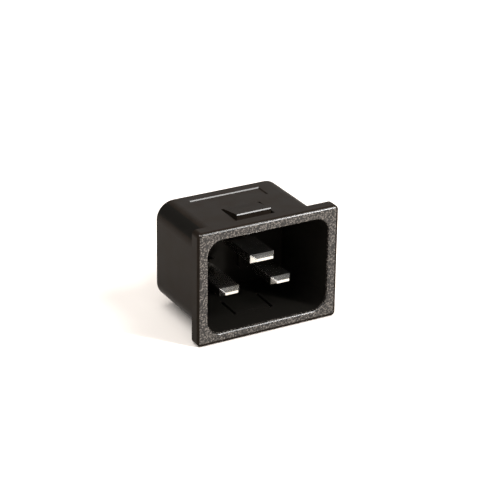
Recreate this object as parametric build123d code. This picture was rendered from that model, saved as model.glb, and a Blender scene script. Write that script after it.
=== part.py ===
from build123d import *
import os

# A panel power inlet with three flat blades, in millimetres.
# The origin is on the panel's front face, at the middle of the housing.
# +X is right as seen from the front, +Y runs back through the panel, +Z is up.

# Front flange, which reaches past the shell at the sides and at the top and bottom
flange_side_reach = 1.75
flange_top_reach = 1.7
flange_thick = 3.0
flange_corner_r = 1.1
flange_edge_r = 0.8

# Recess that takes the plug, open at the front, with walls that draw in towards its floor
recess_width = 30.1
recess_height = 22.2
recess_corner_r = 3.5
recess_draft = 0.3
mouth_edge_r = 0.5

# Shell behind the panel
shell_wall = 0.7
body_depth = 20.5
rear_rim_r = 0.4

# Floor of the recess and the raised pads round the blades
floor_thick = 2.2
pad_margin = 1.0
pad_height = 1.2
pad_corner_r = 0.6

# Snap tongues in the upper and lower walls
tongue_width = 8.5
tongue_tip_y = 4.1
tongue_root_y = 10.4
tongue_rise = 1.0
tongue_tip_bevel = 0.2
tongue_slot = 0.6
tongue_front_gap = 0.8

# Shallow panel on the top, behind the tongue, with sloping sides
panel_width = 17.2
panel_length = 4.0
panel_setback = 3.0
panel_depth = 0.22

# Blades
blade_thick = 2.0
blade_edge_r = 0.2
tip_bevel = 1.15
tip_side_inset = 0.9
tip_face_inset = 0.7
power_width = 5.0
power_pitch = 13.0
power_z = -4.6
power_tip_y = 2.0
earth_width = 6.0
earth_z = 3.4
earth_tip_y = -0.9
ear_reach = 1.0
ear_length = 1.0
blade_gap = 0.05

# Push-on terminals at the rear of the blades
tab_width = 6.3
tab_thick = 0.8
tab_reach = 8.0
tab_corner = 1.2
tab_nose = 0.25
tab_hole_r = 0.85
tab_hole_back = 4.0

# Rear plate and the posts that hold it
plate_thick = 1.3
skirt_wall = 0.9
plate_gap = 0.1
post_r = 1.0
post_gap = 0.05
post_inset = 2.6
post_head_r = 1.6
post_head_height = 0.7
post_head_bevel = 0.4

# Overrun of every cut past the surface that it opens
overrun = 0.5

body_width = recess_width + 2 * shell_wall
body_height = recess_height + 2 * shell_wall
body_corner_r = recess_corner_r + shell_wall
flange_width = body_width + 2 * flange_side_reach
flange_height = body_height + 2 * flange_top_reach
floor_rear_y = body_depth - plate_thick
recess_floor_y = floor_rear_y - floor_thick
skirt_width = body_width - 2 * skirt_wall
skirt_height = body_height - 2 * skirt_wall
skirt_corner_r = body_corner_r - skirt_wall
tab_end_y = body_depth + tab_reach

# Name, width, tip place, X and Z of each blade
blades = [
    ("line_blade", power_width, power_tip_y, -power_pitch / 2, power_z),
    ("neutral_blade", power_width, power_tip_y, power_pitch / 2, power_z),
    ("earth_blade", earth_width, earth_tip_y, 0, earth_z),
]


def prism(outline, front_y, rear_y):
    """The outline, drawn as seen from the front, as a solid from front_y back to rear_y."""
    return extrude(Plane.XZ.offset(-front_y) * outline, amount=front_y - rear_y)


def rounded(width, height, radius):
    return RectangleRounded(width, height, radius)


def flange():
    plate = prism(rounded(flange_width, flange_height, flange_corner_r), -flange_thick, 0)
    front_edges = plate.faces().sort_by(Axis.Y)[0].edges()
    return fillet(front_edges, flange_edge_r)


def shell():
    outline = rounded(body_width, body_height, body_corner_r)
    box = prism(outline, 0, body_depth)
    rear_edges = box.faces().sort_by(Axis.Y)[-1].edges()
    return fillet(rear_edges, rear_rim_r)


def recess():
    """The space for the plug: it draws in by the draft from the mouth to the floor."""
    mouth = rounded(recess_width, recess_height, recess_corner_r)
    floor_width = recess_width - 2 * recess_draft
    floor_height = recess_height - 2 * recess_draft
    floor = rounded(floor_width, floor_height, recess_corner_r - recess_draft)
    space = loft([
        (Plane.XZ.offset(flange_thick) * mouth).face(),
        (Plane.XZ.offset(-recess_floor_y) * floor).face(),
    ])
    return space + prism(mouth, -flange_thick - overrun, -flange_thick)


def round_mouth(solid):
    """Rounds the edge where the recess meets the front of the flange."""
    front = solid.faces().sort_by(Axis.Y)[0]
    return fillet(front.inner_wires()[0].edges(), mouth_edge_r)


def rear_space():
    """The shallow space behind the floor that the rear plate drops into."""
    outline = rounded(skirt_width, skirt_height, skirt_corner_r)
    return prism(outline, floor_rear_y, body_depth + overrun)


def blade_pads():
    """The raised pads on the recess floor, one round each blade."""
    pads = Part()
    for _, width, _, x, z in blades:
        outline = rounded(width + 2 * pad_margin, blade_thick + 2 * pad_margin, pad_corner_r)
        pads += prism(Pos(x, z) * outline, recess_floor_y - pad_height, recess_floor_y)
    return pads


def blade_slots():
    """The slots through the floor, with the wider seats for the ears at the rear."""
    slots = Part()
    for _, width, _, x, z in blades:
        height = blade_thick + 2 * blade_gap
        slot = Rectangle(width + 2 * blade_gap, height)
        seat = Rectangle(width + 2 * (ear_reach + blade_gap), height)
        slots += prism(Pos(x, z) * slot, recess_floor_y - pad_height - overrun, floor_rear_y)
        slots += prism(Pos(x, z) * seat, floor_rear_y - ear_length, floor_rear_y + overrun)
    return slots


def tongue_slots():
    """The U-shaped slot that frees the upper tongue on three sides."""
    low_z = body_height / 2 - shell_wall - overrun
    high_z = body_height / 2 + overrun
    outer = tongue_width / 2 + tongue_slot
    front_y = tongue_tip_y - tongue_front_gap
    slot = Pos(0, (front_y + tongue_root_y) / 2) * Rectangle(2 * outer, tongue_root_y - front_y)
    strip_y = (tongue_tip_y + tongue_root_y + overrun) / 2
    strip = Rectangle(tongue_width, tongue_root_y + overrun - tongue_tip_y)
    outline = slot - Pos(0, strip_y) * strip
    return extrude(Plane.XY.offset(low_z) * outline, amount=high_z - low_z)


def tongue_ramp():
    """The wedge on the upper tongue: it rises towards the panel and ends in the snap face."""
    base_z = body_height / 2
    profile = Polyline(
        (tongue_root_y, base_z),
        (tongue_tip_y + tongue_tip_bevel, base_z + tongue_rise),
        (tongue_tip_y, base_z + tongue_rise - tongue_tip_bevel),
        (tongue_tip_y, base_z - shell_wall / 2),
        (tongue_root_y, base_z - shell_wall / 2),
        close=True,
    )
    return extrude(Plane.YZ * make_face(profile), amount=tongue_width / 2, both=True)


def top_panel():
    """The shallow panel in the top, as a pan whose sides slope out at 45 degrees."""
    middle = Pos(0, body_depth - panel_setback - panel_length / 2)
    reach = panel_depth + overrun
    low = middle * Rectangle(panel_width, panel_length)
    high = middle * Rectangle(panel_width + 2 * reach, panel_length + 2 * reach)
    base_z = body_height / 2 - panel_depth
    return loft([(Plane.XY.offset(base_z) * low).face(), (Plane.XY.offset(base_z + reach) * high).face()])


def post_places():
    x = skirt_width / 2 - post_inset
    z = skirt_height / 2 - post_inset
    return [(side * x, level * z) for side in (-1, 1) for level in (-1, 1)]


def posts():
    """The four rear posts, with the heads that were formed over the plate."""
    group = Part()
    for x, z in post_places():
        group += prism(Pos(x, z) * Circle(post_r), floor_rear_y, body_depth)
        head = prism(Pos(x, z) * Circle(post_head_r), body_depth, body_depth + post_head_height)
        rim = head.faces().sort_by(Axis.Y)[-1].edges()
        group += chamfer(rim, post_head_bevel)
    return group


def housing():
    solid = flange() + shell()
    solid = round_mouth(solid - recess())
    solid -= rear_space()
    solid += blade_pads()
    solid -= blade_slots()
    slots = tongue_slots()
    ramp = tongue_ramp()
    solid -= slots + mirror(slots, about=Plane.XY)
    solid += ramp
    solid += mirror(ramp, about=Plane.XY)
    solid -= top_panel()
    return solid + posts()


def retaining_plate():
    width = skirt_width - 2 * plate_gap
    height = skirt_height - 2 * plate_gap
    plate = prism(rounded(width, height, skirt_corner_r - plate_gap), floor_rear_y, body_depth)
    for _, _, _, x, z in blades:
        slot = Rectangle(tab_width + 2 * blade_gap, tab_thick + 2 * blade_gap)
        plate -= prism(Pos(x, z) * slot, floor_rear_y - overrun, body_depth + overrun)
    for x, z in post_places():
        hole = Pos(x, z) * Circle(post_r + post_gap)
        plate -= prism(hole, floor_rear_y - overrun, body_depth + overrun)
    return plate


def terminal():
    """The flat rear tab, centred on X and Z, with its lead-in bevels and latch hole."""
    outline = Pos(0, (floor_rear_y + tab_end_y) / 2) * Rectangle(tab_width, tab_end_y - floor_rear_y)
    corners = outline.vertices().group_by(Axis.Y)[-1]
    outline = chamfer(corners, tab_corner)
    outline -= Pos(0, tab_end_y - tab_hole_back) * Circle(tab_hole_r)
    tab = extrude(Plane.XY * outline, amount=tab_thick / 2, both=True)
    nose = tab.faces().sort_by(Axis.Y)[-1].edges().filter_by(Axis.X)
    return chamfer(nose, tab_nose)


def blade(width, tip_y):
    """One blade, centred on X and Z: bevelled tip, bar, ears and rear terminal in one piece."""
    section = rounded(width, blade_thick, blade_edge_r)
    end_width = width - 2 * tip_side_inset
    end_height = blade_thick - 2 * tip_face_inset
    end = rounded(end_width, end_height, blade_edge_r)
    nose = loft([
        (Plane.XZ.offset(-tip_y) * end).face(),
        (Plane.XZ.offset(-tip_y - tip_bevel) * section).face(),
    ])
    bar = prism(section, tip_y + tip_bevel, floor_rear_y)
    ears = prism(Rectangle(width + 2 * ear_reach, blade_thick), floor_rear_y - ear_length, floor_rear_y)
    return nose + bar + ears + terminal()


os.makedirs("parts", exist_ok=True)
export_step(housing(), "parts/housing.step")
export_step(retaining_plate(), "parts/retaining_plate.step")
for name, width, tip_y, x, z in blades:
    export_step(Pos(x, 0, z) * blade(width, tip_y), f"parts/{name}.step")
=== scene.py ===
import math

import bpy
from mathutils import Matrix, Vector


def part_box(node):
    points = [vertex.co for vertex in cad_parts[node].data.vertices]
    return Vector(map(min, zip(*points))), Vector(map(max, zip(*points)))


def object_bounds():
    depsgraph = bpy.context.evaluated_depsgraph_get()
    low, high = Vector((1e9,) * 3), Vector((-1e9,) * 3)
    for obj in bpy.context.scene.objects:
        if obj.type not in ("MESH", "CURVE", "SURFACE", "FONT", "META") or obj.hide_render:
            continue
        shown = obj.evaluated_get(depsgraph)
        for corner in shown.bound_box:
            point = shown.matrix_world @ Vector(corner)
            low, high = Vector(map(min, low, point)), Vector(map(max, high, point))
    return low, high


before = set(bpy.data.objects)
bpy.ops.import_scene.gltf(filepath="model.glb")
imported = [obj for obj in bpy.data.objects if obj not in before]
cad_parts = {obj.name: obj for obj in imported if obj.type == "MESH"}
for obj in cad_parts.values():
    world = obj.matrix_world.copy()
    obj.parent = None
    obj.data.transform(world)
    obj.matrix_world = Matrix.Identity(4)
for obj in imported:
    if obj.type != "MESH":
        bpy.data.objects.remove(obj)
cad_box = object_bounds()

bl_info = {
    "name": "Panel power inlet finish",
    "version": (1, 0, 0),
    "blender": (4, 5, 0),
    "location": "View3D > Sidebar > Inlet",
    "description": "Finishes the housing, the rear plate and the plated blades of a panel power inlet",
    "category": "Object",
}

MM = 0.001
BLADES = ("line_blade", "neutral_blade", "earth_blade")

# The housing's outside, and how its flange and walls lie inside it
HOUSING_LOW, HOUSING_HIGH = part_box("housing")
FLANGE_FRONT = HOUSING_LOW.y
FLANGE_SIDE_REACH = 1.75 * MM
FLANGE_TOP_REACH = 1.7 * MM
SHELL_WALL = 0.7 * MM
SHELL_SIDE = HOUSING_HIGH.x - FLANGE_SIDE_REACH
SHELL_TOP = HOUSING_HIGH.z - FLANGE_TOP_REACH
WALL_SOFT = 0.1 * MM

# How far the spark texture stops short of the flange's edges, where it fades behind the front,
# and how much rougher the surface is there
LEFT_INSET = 0.45 * MM
RIGHT_INSET = 0.8 * MM
LOWER_INSET = 0.9 * MM
UPPER_INSET = 0.3 * MM
INSET_SOFT = 0.1 * MM
TEXTURE_FADE = (0.45 * MM, 0.9 * MM)
TEXTURE_ROUGHNESS = 0.35

# Where the flat front turns into its rounded edges, which have no relief and more gloss
ROUND_START = (0.015 * MM, 0.07 * MM)
FRONT_GLOSS = (0.81, 1.0)

# Glossy bevel at the tip of each snap tongue, and the level above which it lies
TONGUE_TIP_Y = 4.1 * MM
TONGUE_RISE = 1.0 * MM
TONGUE_BEVEL = 0.2 * MM
TONGUE_MARGIN = 0.05 * MM
TONGUE_LEVEL = SHELL_TOP + TONGUE_RISE - TONGUE_BEVEL - 2 * TONGUE_MARGIN

# Glossy rear side of the shallow panel on top, and the reach and level that bound it
PANEL_HALF_WIDTH = 8.6 * MM
PANEL_REAR_Y = 17.5 * MM
PANEL_DEPTH = 0.22 * MM
PANEL_REAR_MARGIN = 0.02 * MM
PANEL_MARGIN = 0.08 * MM
PANEL_REACH = PANEL_HALF_WIDTH + PANEL_DEPTH + PANEL_MARGIN
PANEL_LEVEL = SHELL_TOP - PANEL_DEPTH - PANEL_MARGIN
PANEL_GLOSS = 0.7

# How softly the gloss on those edges ends, along the part and in height
EDGE_SOFT = 0.03 * MM
LEVEL_SOFT = 0.05 * MM

# Where in each pattern's own range a blend of colours or roughness starts and ends
GLINT_CELLS = (0.7, 0.1)
GLINT_NOISE = (0.32, 0.6)
CLOUD_COLOURS = (0.35, 0.65)
CLOUD_ROUGHNESS = (0.3, 0.7)
FLOW_ROUGHNESS = (0.3, 0.7)
WORN_PATCHES = (0.4, 0.75)
LINE_ROUGHNESS = (0.25, 0.75)

# Colour of the darker patches, as a share of the piece's own colour
CLOUD_SHADE = 0.82
FLOW_SHADE = 0.75

# Scale of the flow marks and the drawn lines along each axis: under 1 draws a pattern out
FLOW_STRETCH = (1.0, 1.0, 0.35)
LINE_STRETCH = (1.0, 0.02, 1.0)

# Weak, slightly warm reflection of the moulded plastic
SPECULAR_LEVEL = 0.028
SPECULAR_TINT = (1.0, 0.93, 0.87, 1)

# Sensor width in millimetres, and how near to the camera things are still seen
SENSOR_WIDTH = 36
NEAREST_SEEN = 10 * MM

FLOOR_ROUGHNESS = 0.9
WHITE = (1, 1, 1, 1)

# Name, place, width and height, and power in watts of each light
LIGHTS = (
    ("key_light", (0.558, -0.714, 0.423), (0.04, 0.04), 11),
    ("upper_light", (0.40, -0.42, 0.80), (0.30, 0.30), 6),
    ("top_box", (-0.5, 0.0, 1.2), (1.4, 1.4), 22),
    ("rear_card", (0.68, 1.19, 0.62), (0.8, 0.5), 1.5),
)


class InletPlasticSettings(bpy.types.PropertyGroup):
    """Colours and textures of the two black mouldings."""

    smooth_colour: bpy.props.FloatVectorProperty(
        name="Smooth colour", description="Colour of the smooth moulded surfaces",
        subtype="COLOR", size=3, min=0, max=1, default=(0.0125, 0.0092, 0.0068))
    # The darker recess colour is painted shade: it stands in for the shade that falls inside the recess.
    recess_shade_colour: bpy.props.FloatVectorProperty(
        name="Recess colour", description="Colour of the walls and the floor inside the recess",
        subtype="COLOR", size=3, min=0, max=1, default=(0.0066, 0.0060, 0.0051))
    spark_colour: bpy.props.FloatVectorProperty(
        name="Spark colour", description="Colour of the textured flange front between its bright points",
        subtype="COLOR", size=3, min=0, max=1, default=(0.004, 0.0034, 0.0029))
    # The bright points are painted glints: colour that stands in for light catching the texture's
    # grains.
    painted_glint_colour: bpy.props.FloatVectorProperty(
        name="Glint colour", description="Colour of the bright points in the front texture",
        subtype="COLOR", size=3, min=0, max=1, default=(0.168, 0.148, 0.130))
    spark_size: bpy.props.FloatProperty(
        name="Spark size", description="Size of one grain of the front texture",
        subtype="DISTANCE", unit="LENGTH", min=0.00005, default=0.00038)
    spark_depth: bpy.props.FloatProperty(
        name="Spark depth", description="Depth of the front texture",
        subtype="DISTANCE", unit="LENGTH", min=0, default=0.00004)
    cloud_size: bpy.props.FloatProperty(
        name="Cloud size", description="Size of the soft patches in the smooth surfaces",
        subtype="DISTANCE", unit="LENGTH", min=0.0001, default=0.004)
    faint_size: bpy.props.FloatProperty(
        name="Faint size", description="Size of the faint unevenness of the smooth surfaces",
        subtype="DISTANCE", unit="LENGTH", min=0.00005, default=0.0005)
    faint_depth: bpy.props.FloatProperty(
        name="Faint depth", description="Depth of the faint unevenness of the smooth surfaces",
        subtype="DISTANCE", unit="LENGTH", min=0, default=0.000006)
    smooth_roughness: bpy.props.FloatVectorProperty(
        name="Smooth roughness", description="Lowest and highest roughness of the smooth surfaces",
        size=2, min=0, max=1, default=(0.30, 0.40))
    gloss_roughness: bpy.props.FloatProperty(
        name="Gloss roughness", description="Roughness of the gloss on the flange front and the edges",
        subtype="FACTOR", min=0, max=1, default=0.24)
    plate_colour: bpy.props.FloatVectorProperty(
        name="Plate colour", description="Colour of the rear plate",
        subtype="COLOR", size=3, min=0, max=1, default=(0.021, 0.02, 0.019))
    plate_roughness: bpy.props.FloatVectorProperty(
        name="Plate roughness", description="Lowest and highest roughness of the rear plate",
        size=2, min=0, max=1, default=(0.42, 0.56))
    flow_size: bpy.props.FloatProperty(
        name="Flow size", description="Size of the flow marks in the rear plate",
        subtype="DISTANCE", unit="LENGTH", min=0.0001, default=0.0025)
    plate_grain_size: bpy.props.FloatProperty(
        name="Plate grain size", description="Size of the fine grain of the rear plate",
        subtype="DISTANCE", unit="LENGTH", min=0.00005, default=0.0003)
    plate_grain_depth: bpy.props.FloatProperty(
        name="Plate grain depth", description="Depth of the fine grain of the rear plate",
        subtype="DISTANCE", unit="LENGTH", min=0, default=0.00001)


class InletBladeSettings(bpy.types.PropertyGroup):
    """Colours and finish of the plated blades."""

    plating: bpy.props.FloatVectorProperty(
        name="Plating", description="Colour of the bright nickel",
        subtype="COLOR", size=3, min=0, max=1, default=(0.82, 0.80, 0.76))
    worn_plating: bpy.props.FloatVectorProperty(
        name="Worn plating", description="Colour where the plating is thinner",
        subtype="COLOR", size=3, min=0, max=1, default=(0.70, 0.665, 0.58))
    patch_size: bpy.props.FloatProperty(
        name="Patch size", description="Size of the patches of thinner plating",
        subtype="DISTANCE", unit="LENGTH", min=0.0001, default=0.0015)
    line_width: bpy.props.FloatProperty(
        name="Line width", description="Width of the fine drawn lines along each blade",
        subtype="DISTANCE", unit="LENGTH", min=0.00002, default=0.00025)
    line_depth: bpy.props.FloatProperty(
        name="Line depth", description="Depth of the fine drawn lines along each blade",
        subtype="DISTANCE", unit="LENGTH", min=0, default=0.0000002)
    roughness: bpy.props.FloatVectorProperty(
        name="Roughness", description="Lowest and highest roughness of the plating",
        size=2, min=0, max=1, default=(0.21, 0.25))


class InletStageSettings(bpy.types.PropertyGroup):
    """Floor, camera and even light."""

    floor_colour: bpy.props.FloatVectorProperty(
        name="Floor colour", description="Colour of the plain floor",
        subtype="COLOR", size=3, min=0, max=1, default=(0.86, 0.80, 0.745))
    floor_size: bpy.props.FloatProperty(
        name="Floor size", description="Width of the square floor",
        subtype="DISTANCE", unit="LENGTH", min=1, default=12.0)
    room_light: bpy.props.FloatProperty(
        name="Room light", description="Strength of the even light of the room", min=0, default=0.28)
    camera_place: bpy.props.FloatVectorProperty(
        name="Camera place", description="Where the camera stands", subtype="TRANSLATION",
        unit="LENGTH", size=3, default=(-0.193981, -0.335062, 0.182295))
    camera_angles: bpy.props.FloatVectorProperty(
        name="Camera angles", description="Turn to the right, tilt down and roll of the camera",
        subtype="EULER", unit="ROTATION", size=3,
        default=(math.radians(29.654), math.radians(24.590), math.radians(0.886)))
    lens: bpy.props.FloatProperty(
        name="Lens", description="Focal length in millimetres on a 36 mm sensor",
        unit="CAMERA", min=20, default=140.45)


class Shading:
    """A material on some CAD pieces, with short calls to add and join its nodes."""

    def __init__(self, name, pieces):
        material = bpy.data.materials.new(name)
        material.use_nodes = True
        self.tree = material.node_tree
        self.shader = self.tree.nodes["Principled BSDF"]
        self.place = self.add("ShaderNodeTexCoord").outputs["Object"]
        for piece in pieces:
            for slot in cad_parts[piece].material_slots:
                slot.material = material

    def add(self, kind, **values):
        node = self.tree.nodes.new(kind)
        for key, value in values.items():
            setattr(node, key, value)
        return node

    def feed(self, socket, value):
        """Joins a node's output to the socket, or sets the socket to a plain value."""
        if isinstance(value, bpy.types.NodeSocket):
            self.tree.links.new(value, socket)
        else:
            socket.default_value = value

    def surface(self, name, value):
        """Sets one of the surface's own values to a number, a colour or a node's output."""
        self.feed(self.shader.inputs[name], value)

    def stretched(self, scale):
        """The place on the piece, with each axis multiplied by its part of the scale."""
        mapping = self.add("ShaderNodeMapping")
        self.feed(mapping.inputs["Scale"], scale)
        self.feed(mapping.inputs["Vector"], self.place)
        return mapping.outputs["Vector"]

    def noise(self, size, detail, place=None):
        node = self.add("ShaderNodeTexNoise")
        self.feed(node.inputs["Scale"], 1 / size)
        self.feed(node.inputs["Detail"], detail)
        self.feed(node.inputs["Vector"], place or self.place)
        return node.outputs["Fac"]

    def cells(self, size):
        node = self.add("ShaderNodeTexVoronoi")
        self.feed(node.inputs["Scale"], 1 / size)
        self.feed(node.inputs["Vector"], self.place)
        return node.outputs["Distance"]

    def axis(self, letter):
        parts = self.add("ShaderNodeSeparateXYZ")
        self.feed(parts.inputs["Vector"], self.place)
        return parts.outputs[letter]

    def maths(self, operation, *values):
        node = self.add("ShaderNodeMath", operation=operation)
        for socket, value in zip(node.inputs, values):
            self.feed(socket, value)
        return node.outputs["Value"]

    def product(self, first, *others):
        for other in others:
            first = self.maths("MULTIPLY", first, other)
        return first

    def distance(self, letter):
        """How far the place lies from the part's middle along one axis, on either side."""
        return self.maths("ABSOLUTE", self.axis(letter))

    def span(self, value, source, result=(0.0, 1.0)):
        """The value carried from the source range to the result range and held inside it."""
        node = self.add("ShaderNodeMapRange", interpolation_type="SMOOTHSTEP")
        for key, number in zip(("From Min", "From Max", "To Min", "To Max"), (*source, *result)):
            self.feed(node.inputs[key], number)
        self.feed(node.inputs["Value"], value)
        return node.outputs["Result"]

    def above(self, value, limit, soft):
        """1 where the value lies above the limit, 0 below it, with a soft change between."""
        return self.span(value, (limit - soft, limit + soft))

    def below(self, value, limit, soft):
        """1 where the value lies below the limit, 0 above it, with a soft change between."""
        return self.span(value, (limit + soft, limit - soft))

    def band(self, value, low, high, soft):
        """1 between the two limits and 0 outside them, with a soft change past each limit."""
        return self.product(self.span(value, (low - soft, low)), self.span(value, (high + soft, high)))

    def blend(self, share, first, second):
        """A colour between two colours, by the share of the second."""
        node = self.add("ShaderNodeMix", data_type="RGBA")
        self.feed(node.inputs["Factor"], share)
        for name, colour in (("A", first), ("B", second)):
            is_plain = not isinstance(colour, bpy.types.NodeSocket)
            self.feed(node.inputs[name], (*colour, 1) if is_plain else colour)
        return node.outputs["Result"]

    def bump(self, height, depth, strength, under=None):
        """The surface's direction with the height pressed into it, over another bump if one is given."""
        node = self.add("ShaderNodeBump")
        self.feed(node.inputs["Distance"], depth)
        self.feed(node.inputs["Strength"], strength)
        self.feed(node.inputs["Height"], height)
        if under is not None:
            self.feed(node.inputs["Normal"], under)
        return node.outputs["Normal"]


def shaded(colour, share):
    """The colour made darker, to the share of itself."""
    return [share * part for part in colour]


def behind_front(depths):
    """Places on the Y axis at two depths behind the flange's front face."""
    return [FLANGE_FRONT + depth for depth in depths]


def glossy_edges(plastic):
    """How glossy the tongues' bevelled tips and the rear side of the top panel are."""
    depth = plastic.axis("Y")
    tip_start = TONGUE_TIP_Y - TONGUE_MARGIN
    tip_end = TONGUE_TIP_Y + TONGUE_BEVEL + TONGUE_MARGIN
    tips = plastic.product(
        plastic.band(depth, tip_start, tip_end, EDGE_SOFT),
        plastic.above(plastic.distance("Z"), TONGUE_LEVEL, LEVEL_SOFT))
    side_start = PANEL_REAR_Y - PANEL_REAR_MARGIN
    side_end = PANEL_REAR_Y + PANEL_DEPTH + PANEL_REAR_MARGIN
    panel_side = plastic.product(
        plastic.band(depth, side_start, side_end, EDGE_SOFT),
        plastic.band(plastic.axis("X"), -PANEL_REACH, PANEL_REACH, EDGE_SOFT),
        plastic.above(plastic.axis("Z"), PANEL_LEVEL, LEVEL_SOFT),
        PANEL_GLOSS)
    return plastic.maths("ADD", tips, panel_side)


def inside_recess(plastic):
    """1 inside the middle of the housing's walls and 0 outside it, where the recess gets its painted
    shade.
    """
    return plastic.product(
        plastic.below(plastic.distance("X"), SHELL_SIDE - SHELL_WALL / 2, WALL_SOFT),
        plastic.below(plastic.distance("Z"), SHELL_TOP - SHELL_WALL / 2, WALL_SOFT))


def inside_texture(plastic):
    """1 within the limits of the spark texture as seen from the front, and 0 outside them."""
    left, right = HOUSING_LOW.x + LEFT_INSET, HOUSING_HIGH.x - RIGHT_INSET
    bottom, top = HOUSING_LOW.z + LOWER_INSET, HOUSING_HIGH.z - UPPER_INSET
    return plastic.product(
        plastic.band(plastic.axis("X"), left, right, INSET_SOFT),
        plastic.band(plastic.axis("Z"), bottom, top, INSET_SOFT))


def housing_plastic(settings):
    """Black moulded plastic: smooth outside, painted shade in the recess and a spark texture with
    painted glints on the flange front.
    """
    plastic = Shading("housing_plastic", ("housing",))
    depth = plastic.axis("Y")
    near_front = plastic.span(depth, reversed(behind_front(TEXTURE_FADE)))
    front = plastic.product(inside_texture(plastic), near_front)
    flat_front = plastic.product(front, plastic.span(depth, reversed(behind_front(ROUND_START))))

    grains = plastic.cells(settings.spark_size)
    fine = plastic.noise(settings.spark_size, detail=2.0)
    # Painted glints: some grains get a bright colour in place of the light that would glint off them.
    painted_glints = plastic.product(plastic.span(grains, GLINT_CELLS), plastic.span(fine, GLINT_NOISE))
    spark = plastic.blend(painted_glints, settings.spark_colour, settings.painted_glint_colour)
    cloud = plastic.noise(settings.cloud_size, detail=4.0)
    dark_patches = shaded(settings.smooth_colour, CLOUD_SHADE)
    outside = plastic.blend(plastic.span(cloud, CLOUD_COLOURS), dark_patches, settings.smooth_colour)
    # Painted shade: the recess walls and floor get a darker colour than the outside.
    smooth = plastic.blend(inside_recess(plastic), outside, settings.recess_shade_colour)
    plastic.surface("Base Color", plastic.blend(front, smooth, spark))

    smooth_roughness = plastic.span(cloud, CLOUD_ROUGHNESS, settings.smooth_roughness)
    added_roughness = plastic.product(near_front, TEXTURE_ROUGHNESS)
    plastic.surface("Roughness", plastic.maths("ADD", smooth_roughness, added_roughness))
    unevenness = plastic.noise(settings.faint_size, detail=3.0)
    faint = plastic.bump(unevenness, settings.faint_depth, strength=0.5)
    relief = plastic.product(plastic.maths("ADD", grains, fine), flat_front)
    plastic.surface("Normal", plastic.bump(relief, settings.spark_depth, strength=0.6, under=faint))

    front_gloss = plastic.product(front, plastic.span(depth, behind_front(ROUND_START), FRONT_GLOSS))
    plastic.surface("Coat Weight", plastic.maths("ADD", front_gloss, glossy_edges(plastic)))
    plastic.surface("Coat Roughness", settings.gloss_roughness)
    plastic.surface("Specular IOR Level", SPECULAR_LEVEL)
    plastic.surface("Specular Tint", SPECULAR_TINT)


def plate_plastic(settings):
    """Duller black plastic with fine flow marks, for the rear plate."""
    plate = Shading("plate_plastic", ("retaining_plate",))
    flow = plate.noise(settings.flow_size, detail=5.0, place=plate.stretched(FLOW_STRETCH))
    dark_marks = shaded(settings.plate_colour, FLOW_SHADE)
    grain = plate.noise(settings.plate_grain_size, detail=3.0)
    plate.surface("Base Color", plate.blend(flow, dark_marks, settings.plate_colour))
    plate.surface("Roughness", plate.span(flow, FLOW_ROUGHNESS, settings.plate_roughness))
    plate.surface("Normal", plate.bump(grain, settings.plate_grain_depth, strength=0.6))


def blade_metal(settings):
    """Bright nickel with fine lines drawn along the blade and a little uneven plating."""
    metal = Shading("blade_metal", BLADES)
    lines = metal.noise(settings.line_width, detail=4.0, place=metal.stretched(LINE_STRETCH))
    worn = metal.span(metal.noise(settings.patch_size, detail=3.0), WORN_PATCHES)
    metal.surface("Base Color", metal.blend(worn, settings.plating, settings.worn_plating))
    metal.surface("Roughness", metal.span(lines, LINE_ROUGHNESS, settings.roughness))
    metal.surface("Normal", metal.bump(lines, settings.line_depth, strength=0.3))
    metal.surface("Metallic", 1.0)


def floor_material(colour):
    material = bpy.data.materials.new("floor")
    material.use_nodes = True
    shader = material.node_tree.nodes["Principled BSDF"]
    shader.inputs["Base Color"].default_value = (*colour, 1)
    shader.inputs["Roughness"].default_value = FLOOR_ROUGHNESS
    return material


def lay_floor(settings):
    """A plain square floor under the part's lowest point."""
    half = settings.floor_size / 2
    low = cad_box[0].z
    mesh = bpy.data.meshes.new("floor")
    corners = [(-half, -half, low), (half, -half, low), (half, half, low), (-half, half, low)]
    mesh.from_pydata(corners, [], [(0, 1, 2, 3)])
    mesh.materials.append(floor_material(settings.floor_colour))
    floor = bpy.data.objects.new("floor", mesh)
    bpy.context.collection.objects.link(floor)


def set_camera(settings):
    """A camera that starts out level, facing +Y, and is turned, tilted and rolled from there."""
    turn, tilt, roll = settings.camera_angles
    camera = bpy.data.objects.new("camera", bpy.data.cameras.new("camera"))
    bpy.context.collection.objects.link(camera)
    camera.data.lens = settings.lens
    camera.data.sensor_width = SENSOR_WIDTH
    camera.data.clip_start = NEAREST_SEEN
    place = Matrix.Translation(settings.camera_place)
    aim = Matrix.Rotation(-turn, 4, "Z") @ Matrix.Rotation(math.pi / 2 - tilt, 4, "X")
    camera.matrix_world = place @ aim @ Matrix.Rotation(roll, 4, "Z")
    bpy.context.scene.camera = camera


def hang_light(name, place, size, power):
    """A rectangular soft light that faces the origin, where the part is."""
    data = bpy.data.lights.new(name, "AREA")
    data.shape = "RECTANGLE"
    data.size, data.size_y = size
    data.energy = power
    light = bpy.data.objects.new(name, data)
    bpy.context.collection.objects.link(light)
    light.location = place
    light.rotation_euler = (-Vector(place)).to_track_quat("-Z", "Y").to_euler()


def light_room(settings):
    """The even light of the room, and the lights that hang in it."""
    world = bpy.data.worlds.new("room")
    world.use_nodes = True
    background = world.node_tree.nodes["Background"]
    background.inputs["Color"].default_value = WHITE
    background.inputs["Strength"].default_value = settings.room_light
    bpy.context.scene.world = world
    bpy.context.scene.view_settings.view_transform = "Standard"
    for name, place, size, power in LIGHTS:
        hang_light(name, place, size, power)


class INLET_OT_housing(bpy.types.Operator):
    """Finish the moulded housing with its textured flange"""

    bl_idname = "inlet.housing"
    bl_label = "Housing"

    def execute(self, context):
        housing_plastic(context.scene.inlet_plastic)
        return {"FINISHED"}


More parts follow.
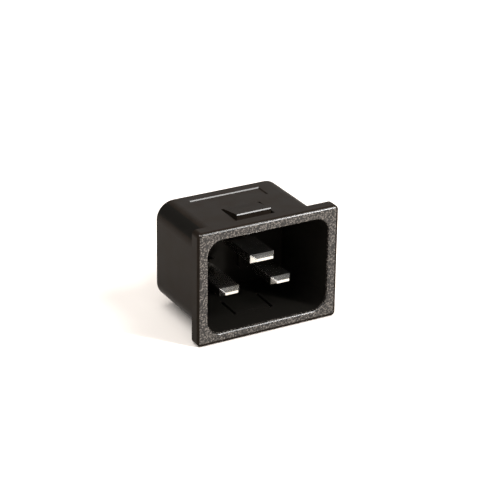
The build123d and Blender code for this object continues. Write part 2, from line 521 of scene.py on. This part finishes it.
class INLET_OT_plate(bpy.types.Operator):
    """Finish the rear retaining plate"""

    bl_idname = "inlet.plate"
    bl_label = "Rear plate"

    def execute(self, context):
        plate_plastic(context.scene.inlet_plastic)
        return {"FINISHED"}


class INLET_OT_blades(bpy.types.Operator):
    """Finish the three plated blades"""

    bl_idname = "inlet.blades"
    bl_label = "Blades"

    def execute(self, context):
        blade_metal(context.scene.inlet_blades)
        return {"FINISHED"}


class INLET_OT_stage(bpy.types.Operator):
    """Lay the floor, set the camera and hang the lights"""

    bl_idname = "inlet.stage"
    bl_label = "Stage"

    def execute(self, context):
        settings = context.scene.inlet_stage
        lay_floor(settings)
        set_camera(settings)
        light_room(settings)
        return {"FINISHED"}


class INLET_PT_panel(bpy.types.Panel):
    """The inlet's settings and steps"""

    bl_idname = "INLET_PT_panel"
    bl_label = "Panel power inlet"
    bl_space_type = "VIEW_3D"
    bl_region_type = "UI"
    bl_category = "Inlet"

    def draw(self, context):
        scene = context.scene
        for group in (scene.inlet_plastic, scene.inlet_blades, scene.inlet_stage):
            box = self.layout.box()
            for name in group.bl_rna.properties.keys():
                if name not in ("rna_type", "name"):
                    box.prop(group, name)
        for operator in OPERATORS:
            self.layout.operator(operator.bl_idname)


SETTINGS = {
    "inlet_plastic": InletPlasticSettings,
    "inlet_blades": InletBladeSettings,
    "inlet_stage": InletStageSettings,
}
OPERATORS = (INLET_OT_stage, INLET_OT_housing, INLET_OT_plate, INLET_OT_blades)
CLASSES = (*SETTINGS.values(), *OPERATORS, INLET_PT_panel)


def register():
    for cls in CLASSES:
        bpy.utils.register_class(cls)
    for name, cls in SETTINGS.items():
        setattr(bpy.types.Scene, name, bpy.props.PointerProperty(type=cls))


def unregister():
    for name in SETTINGS:
        delattr(bpy.types.Scene, name)
    for cls in reversed(CLASSES):
        bpy.utils.unregister_class(cls)


def main():
    register()
    bpy.ops.inlet.stage()
    bpy.ops.inlet.housing()
    bpy.ops.inlet.plate()
    bpy.ops.inlet.blades()


if __name__ == "__main__":
    main()
